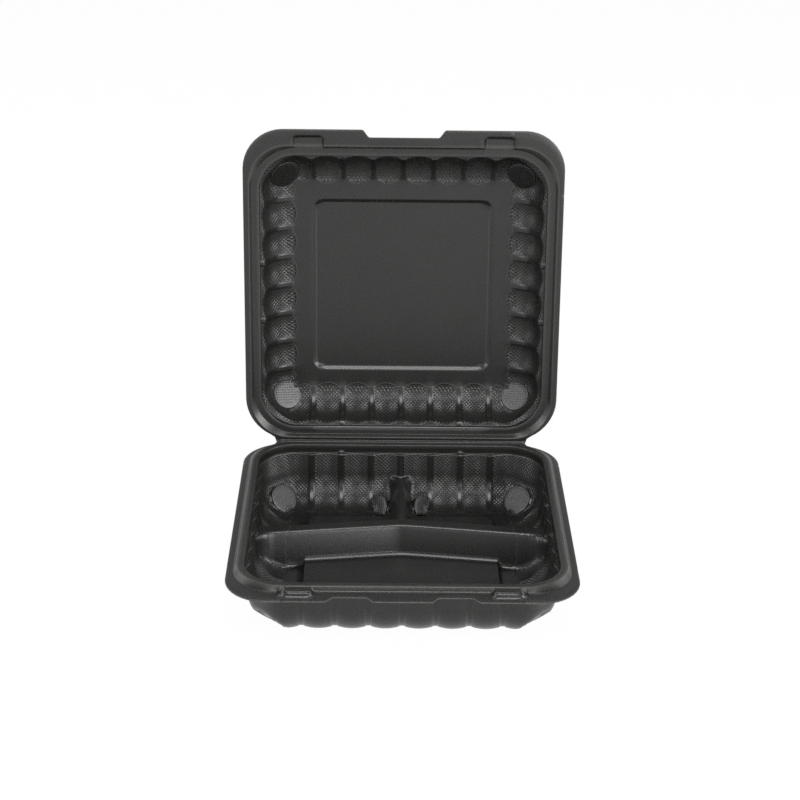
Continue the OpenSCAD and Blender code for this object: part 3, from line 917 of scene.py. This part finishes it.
lid_net = Net(
    RING_RISE, LID_LEDGE_D, LID_H - SHEET, grow=RIM_PLAY, corner_in=2.0, notches=[(0, 60)]
)
lid_x = spaced_lines(AXIS[0], lid_zones + rib_zones(AXIS[0]))
lid_y = spaced_lines(AXIS[1], lid_rows + rib_zones(AXIS[1]))
set_columns(lid_net, lid_x, lid_y, lambda x, y: 0 * x)
set_rings(lid_net)
set_faces(lid_net, [(62.5, 67.5), (-67.5, -62.5)], [(61, 67.5), (-67.5, -61)])
lid_flats = corner_flats(lid_net, reach=12.0, rise=6.5, tilt=38, radius=11.0)
press_flats(lid_net, lid_flats)
px, py, pz = lid_net.points.T
panel = box_distance(px, py - PANEL_BACK, PANEL_X, PANEL_Y, PANEL_R)
sunk = smooth_max(PANEL_Z + 0 * px, PANEL_Z + panel * PANEL_STEEP, PANEL_FOOT_SOFT)
pz[:] = smooth_min(pz, sunk, PANEL_EDGE_SOFT)
# A painted highlight: a paler line only along the panel's left and right edges, where they catch
# the light.
sides = (np.abs(panel) < PANEL_LINE) & (np.abs(py) < PANEL_SIDES)
lid_net.worn = np.maximum(lid_net.worn, PANEL_HIGHLIGHT * sides)
pocket = -block_height(px, py, RIM_PLAY)
in_front = (py < -AXIS[1] - CAVITY_R - POCKET_BEHIND) & (pocket < POCKET_OVER)
pz[:] = np.where(in_front, smooth_min(pz, pocket, POCKET_SOFT), pz)
press(lid_net, nub_height(lid_net, along_x=2, along_y=1), soften=0.3)
droop(lid_net)
lid_floor = SCOOP_DEPTH + SHEET - LID_H - DISC_DEEP
lay_discs(lid_net, lid_flats, lambda x, y: np.full_like(x, lid_floor))
print("lid faces", len(lid_net.faces), "columns", len(lid_net.foot))


# %% [markdown]
# ## From net to sheet
# The net is only the upper face. Solidify gives it the thickness of the formed sheet and closes
# the free edge, as a cut from the web would. The under face takes a second finish, because it
# never touched the knurled mould.


# %% Make the two sheets
def formed_sheet(name, net, place, body, node):
    """One half as an object that rides its body and stands for its solid."""
    mesh = bpy.data.meshes.new(name)
    mesh.from_pydata((net.points * MM).tolist(), [], net.faces)
    mesh.transform(place)
    layer = mesh.uv_layers.new(name="sheet_run")
    layer.data.foreach_set("uv", (net.uv * MM).astype(np.float32).ravel())
    for label, values in (("knurl", net.knurl), ("whitened_and_highlit_edge", net.worn)):
        mark = mesh.attributes.new(label, "FLOAT", "POINT")
        mark.data.foreach_set("value", values.astype(np.float32))
    mesh.shade_smooth()
    mesh.validate()
    sheet = bpy.data.objects.new(name, mesh)
    scene.collection.objects.link(sheet)
    thick = sheet.modifiers.new("sheet_thickness", "SOLIDIFY")
    thick.thickness = SHEET * MM
    thick.offset = -1
    thick.use_rim = True
    thick.material_offset = 1
    thick.material_offset_rim = 1
    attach(sheet, body)
    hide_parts(node)
    return sheet


tray_place = Matrix.Translation((0, 0, BASE_H * MM))
lid_place = (
    Matrix.Translation((0, HINGE_Y * MM, HINGE_Z * MM))
    @ Matrix.Rotation(math.radians(180 - LID_OPEN), 4, "X")
    @ Matrix.Translation((0, HINGE_Y * MM, -SHUT_GAP / 2 * MM))
    @ Matrix.Rotation(math.pi, 4, "Z")
)
tray = formed_sheet("tray_sheet", tray_net, tray_place, "tray", "base_tray")
lid = formed_sheet("lid_sheet", lid_net, lid_place, "cover", "lid")
print("tray", len(tray.data.vertices), "points; lid", len(lid.data.vertices), "points")

# %% [markdown]
# ## The crease
# Between the two halves the sheet is pressed thin, so that it bends like a leather hinge. It
# could be left as the small gap of the solid model, but light would show through. A narrow strip
# that follows the tray at one edge and the lid at the other closes it at this opening.

# %% Crease strip
TRAY_EDGE = [(-1.5, -0.2), (-0.9, -0.16), (-0.35, -0.12)]  # y and z from the hinge line
STRIP_THICK, STRIP_SHORT, STRIP_ROWS = 0.3, 0.3, 63
swing = math.radians(180 - LID_OPEN)
cos, sin = math.cos(swing), math.sin(swing)
lid_edge = [(-y, z) for y, z in reversed(TRAY_EDGE)]
fold = TRAY_EDGE + [(y * cos - z * sin, y * sin + z * cos) for y, z in lid_edge]
strip_half = HINGE_HALF - STRIP_SHORT
lengthwise = np.linspace(-strip_half, strip_half, STRIP_ROWS)
strip_points = [
    (x * MM, (HINGE_Y + y) * MM, (HINGE_Z + z) * MM) for x in lengthwise for y, z in fold
]
row = len(fold)
strip_faces = [
    (i * row + j, (i + 1) * row + j, (i + 1) * row + j + 1, i * row + j + 1)
    for i in range(len(lengthwise) - 1)
    for j in range(row - 1)
]
strip_mesh = bpy.data.meshes.new("hinge_crease")
strip_mesh.from_pydata(strip_points, [], strip_faces)
strip_mesh.shade_smooth()
crease = bpy.data.objects.new("hinge_crease", strip_mesh)
scene.collection.objects.link(crease)
thin = crease.modifiers.new("pressed_thickness", "SOLIDIFY")
thin.thickness = STRIP_THICK * MM
thin.offset = -1
hinge = Vector((0, HINGE_Y, HINGE_Z))
bend_from, bend_to = (tuple((hinge + Vector((0, *fold[k]))) * MM) for k in (2, 3))
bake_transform(crease)
print("crease strip", len(strip_faces), "faces")

# %% [markdown]
# ## The plastic
# Mineral-filled polypropylene, thermoformed: the chalk in it takes the shine off, so the black
# reads as a satin charcoal with soft highlights. The upper face took a fine diamond knurl from
# the mould in the flutes and on the corner flats. Both are made with nodes, so they stay sharp
# at any distance; one helper adds a node with its settings and links.


# %% Colour and node helpers
def linear(code):
    """A colour written as sRGB hex, as linear RGBA."""
    parts = [int(code[i : i + 2], 16) / 255 for i in (1, 3, 5)]
    return (*[c / 12.92 if c <= 0.04045 else ((c + 0.055) / 1.055) ** 2.4 for c in parts], 1)


def add(tree, kind, links=None, **settings):
    """Adds a node. Settings are its properties; links are inputs with a socket or a value."""
    node = tree.nodes.new(kind)
    for name, value in settings.items():
        setattr(node, name, value)
    for name, value in (links or {}).items():
        socket = node.inputs[name]
        if isinstance(value, bpy.types.NodeSocket):
            tree.links.new(value, socket)
        else:
            socket.default_value = value
    return node


def new_material(name):
    """An empty material and its node tree."""
    material = bpy.data.materials.new(name)
    material.use_nodes = True
    material.node_tree.nodes.clear()
    return material, material.node_tree


print("charcoal as linear", [round(c, 4) for c in linear("#131312")])

# %% [markdown]
# ## The knurl
# The knurl is two sets of crossing grooves, at 45 degrees to the wall, so its points are small
# pyramids. Modelled, they would take millions of faces. So they are the lower of two ramps along
# the unrolled sheet, which drive a bump and a painted glint, a slight paleness on the points.

# %% Knurl
KNURL = 1.9  # millimetres between the grooves; they are nearer 1.3 on the sheet, too fine to show


def knurl_points(tree):
    """The diamond knurl: 0 in the grooves and 1 on the points, where the sheet has it."""
    run = add(tree, "ShaderNodeUVMap", uv_map="sheet_run").outputs["UV"]
    ramps = []
    for side in (1, -1):
        slant = (DIAGONAL / (KNURL * MM), side * DIAGONAL / (KNURL * MM), 0)
        place = add(tree, "ShaderNodeVectorMath", {0: run, 1: slant}, operation="DOT_PRODUCT")
        place = place.outputs["Value"]
        ramp = add(tree, "ShaderNodeMath", {0: place, 1: 0.5}, operation="PINGPONG")
        ramps.append(ramp.outputs[0])
    points = add(tree, "ShaderNodeMath", dict(enumerate(ramps)), operation="MINIMUM").outputs[0]
    mask = add(tree, "ShaderNodeAttribute", attribute_name="knurl").outputs["Fac"]
    share = add(tree, "ShaderNodeMath", {0: mask, 1: 2.0}, operation="MULTIPLY").outputs[0]
    return add(tree, "ShaderNodeMath", {0: points, 1: share}, operation="MULTIPLY").outputs[0]


print("grooves", KNURL, "mm apart")

# %% [markdown]
# ## The formed sheet's finish
# One noise gives the chalk grain, which breaks up the highlights, and a broader one the
# cloudiness where the hot sheet was drawn unevenly. The two sides of the sheet share everything
# but the knurl, so one function makes both.

# %% Plastic
GRAIN = 0.9  # the chalk grains are finer than 0.1 mm; drawn coarser so that they show
CLOUD = 24.0  # width of the soft cloudiness where the hot sheet was drawn
RELIEF, GRAIN_DEEP = 0.3, 0.006  # height of the knurl's points and of the grain
EDGE_WHITE_AND_HIGHLIGHT, KNURL_GLINT = 0.4, 0.24  # how far paler edges lighten, as whitening and painted highlight, and the knurl's points, as a painted glint


def sheet_plastic(name, knurled):
    """Thermoformed mineral-filled polypropylene: satin charcoal with a soft grain."""
    material, tree = new_material(name)
    place = add(tree, "ShaderNodeTexCoord").outputs["Object"]
    fine = {"Vector": place, "Scale": 1 / (GRAIN * MM), "Detail": 3.0}
    broad = {"Vector": place, "Scale": 1 / (CLOUD * MM), "Detail": 4.0}
    grain = add(tree, "ShaderNodeTexNoise", fine).outputs["Fac"]
    cloud = add(tree, "ShaderNodeTexNoise", broad).outputs["Fac"]
    mottle = add(tree, "ShaderNodeMixRGB", {
        "Fac": cloud, "Color1": linear("#131312"), "Color2": linear("#1a1a19"),
    })
    # Bent edges, the lip's cut edge and the panel's sides are paler: partly whitening of the
    # filler, partly painted highlight where crisp edges catch the light.
    worn = add(tree, "ShaderNodeAttribute", attribute_name="whitened_and_highlit_edge").outputs["Fac"]
    white = add(tree, "ShaderNodeMath", {0: worn, 1: EDGE_WHITE_AND_HIGHLIGHT}, operation="MULTIPLY").outputs[0]
    height = add(tree, "ShaderNodeMath", {0: grain, 1: GRAIN_DEEP}, operation="MULTIPLY").outputs[0]
    if knurled:
        # The points of the knurl are paler: a painted glint, as where their facets catch the light.
        points = knurl_points(tree)
        knurl_glint = add(tree, "ShaderNodeMath", {0: points, 1: KNURL_GLINT}, operation="MULTIPLY").outputs[0]
        white = add(tree, "ShaderNodeMath", {0: white, 1: knurl_glint}, operation="MAXIMUM").outputs[0]
        rise = add(tree, "ShaderNodeMath", {0: points, 1: RELIEF}, operation="MULTIPLY").outputs[0]
        height = add(tree, "ShaderNodeMath", {0: rise, 1: height}, operation="ADD").outputs[0]
    colour = add(tree, "ShaderNodeMixRGB", {
        "Fac": white, "Color1": mottle.outputs["Color"], "Color2": linear("#4a4a48"),
    })
    satin = add(tree, "ShaderNodeMapRange", {
        "Value": grain, "From Min": 0.3, "From Max": 0.7, "To Min": 0.24, "To Max": 0.34,
    })
    bump = add(tree, "ShaderNodeBump", {"Height": height, "Strength": 1.0, "Distance": 1.0 * MM})
    shader = add(tree, "ShaderNodeBsdfPrincipled", {
        "Base Color": colour.outputs["Color"],
        "Roughness": satin.outputs["Result"],
        "IOR": 1.49,
        "Normal": bump.outputs["Normal"],
    })
    add(tree, "ShaderNodeOutputMaterial", {"Surface": shader.outputs["BSDF"]})
    return material


knurled_plastic = sheet_plastic("polypropylene_formed_knurled", True)
plain_plastic = sheet_plastic("polypropylene_formed_plain", False)
for sheet in (tray, lid):
    sheet.data.materials.append(knurled_plastic)
    sheet.data.materials.append(plain_plastic)
crease.data.materials.append(plain_plastic)
print("materials:", knurled_plastic.name, plain_plastic.name)

# %% [markdown]
# ## The floor
# The container stands on a white sweep of paper. Lit white paper would come out grey or burnt
# out, as the lamps happen to fall, so the camera and the reflections see it mostly as plain
# white, and only a share of it takes light and the container's shadow.

# %% White floor
FLOOR_HALF, FLOOR_Z = 6.0, -0.0002  # metres
PAPER_GLOW = 0.97  # the share that shows as plain white
UNEVEN = 300.0  # millimetres; paper fibres are far too fine to show, so this is drawn coarser
floor_mesh = bpy.data.meshes.new("white_floor")
floor_points = [(x * FLOOR_HALF, y * FLOOR_HALF, FLOOR_Z) for x, y in MIRRORS]
floor_mesh.from_pydata(floor_points, [], [(0, 1, 2, 3)])
white_floor = bpy.data.objects.new("white_floor", floor_mesh)
scene.collection.objects.link(white_floor)
# Matt uncoated paper, rolled flat: an even white with no highlight of its own.
paper, tree = new_material("matt_white_paper")
uneven = {"Scale": 2 * FLOOR_HALF / (UNEVEN * MM), "Detail": 2.0}
fibres = add(tree, "ShaderNodeTexNoise", uneven)
tone = add(tree, "ShaderNodeMixRGB", {
    "Fac": fibres.outputs["Fac"], "Color1": linear("#f6f6f6"), "Color2": linear("#fafafa"),
})
matt = add(tree, "ShaderNodeBsdfDiffuse", {"Color": tone.outputs["Color"]})
glow = add(tree, "ShaderNodeEmission", {"Color": (1, 1, 1, 1), "Strength": 1.0})
rays = add(tree, "ShaderNodeLightPath")
seen = rays.outputs["Is Camera Ray"]
for kind in ("Is Glossy Ray", "Is Transmission Ray"):
    either = {0: seen, 1: rays.outputs[kind]}
    seen = add(tree, "ShaderNodeMath", either, operation="MAXIMUM").outputs[0]
share = add(tree, "ShaderNodeMath", {0: seen, 1: PAPER_GLOW}, operation="MULTIPLY").outputs[0]
sweep = add(tree, "ShaderNodeMixShader", {
    "Fac": share, 1: matt.outputs["BSDF"], 2: glow.outputs["Emission"],
})
add(tree, "ShaderNodeOutputMaterial", {"Surface": sweep.outputs["Shader"]})
floor_mesh.materials.append(paper)
print("floor", 2 * FLOOR_HALF, "m")


# %% [markdown]
# ## The studio
# Black satin plastic shows its surroundings more than its own colour. Soft boxes stand to the
# right, to the left and in front, the room is white near the horizon and dark overhead, and the
# right side is the stronger one. That draws each flute with a bright and a dark flank.

# %% Room and lamps
world = bpy.data.worlds.new("studio")
scene.world = world
world.use_nodes = True
tree = world.node_tree
tree.nodes.clear()
toward = add(tree, "ShaderNodeTexCoord").outputs["Generated"]
parts = add(tree, "ShaderNodeSeparateXYZ", {"Vector": toward})
strength = add(tree, "ShaderNodeMapRange", {
    "Value": parts.outputs["Z"], "From Min": 0.3, "From Max": 0.55, "To Min": 1.0, "To Max": 0.05,
})
sky = add(tree, "ShaderNodeBackground", {
    "Color": (1, 1, 1, 1), "Strength": strength.outputs["Result"],
})
add(tree, "ShaderNodeOutputWorld", {"Surface": sky.outputs["Background"]})

AIM = Vector((0, 0.03, 0.1))  # what the lamps face, in metres
LAMPS = (  # name, azimuth (0 in front, 90 to the right), elevation, distance, size and watts
    ("right_key", 60, 25, 1.6, 0.7, 15),
    ("left_fill", -60, 28, 1.6, 0.7, 7.5),
    ("right_side", 98, 30, 1.6, 0.7, 4.5),
    ("left_side", -98, 30, 1.6, 0.7, 4.5),
    ("front_box", 0, 58, 1.6, 0.8, 17),
    ("low_front_right", 22, 16, 1.9, 0.6, 8),
    ("low_front_left", -18, 16, 1.9, 0.6, 1.2),
    ("high_back", 180, 60, 1.6, 0.8, 7),
    ("right_rear", 130, 35, 1.6, 0.7, 3),
    ("left_rear", -130, 35, 1.6, 0.7, 3),
)
for name, azimuth, elevation, distance, size, watts in LAMPS:
    a, e = math.radians(azimuth), math.radians(elevation)
    away = Vector((math.sin(a) * math.cos(e), -math.cos(a) * math.cos(e), math.sin(e)))
    softbox = bpy.data.lights.new(name, "AREA")
    softbox.shape = "SQUARE"
    softbox.size = size
    softbox.energy = watts
    lamp = bpy.data.objects.new(name, softbox)
    lamp.location = AIM + away * distance
    lamp.rotation_euler = (-away).to_track_quat("-Z", "Y").to_euler()
    scene.collection.objects.link(lamp)

# %% [markdown]
# ## Last settings
# The view transform stays plain, so that a colour shows as it is written.

# %% View transform
scene.view_settings.view_transform = "Standard"
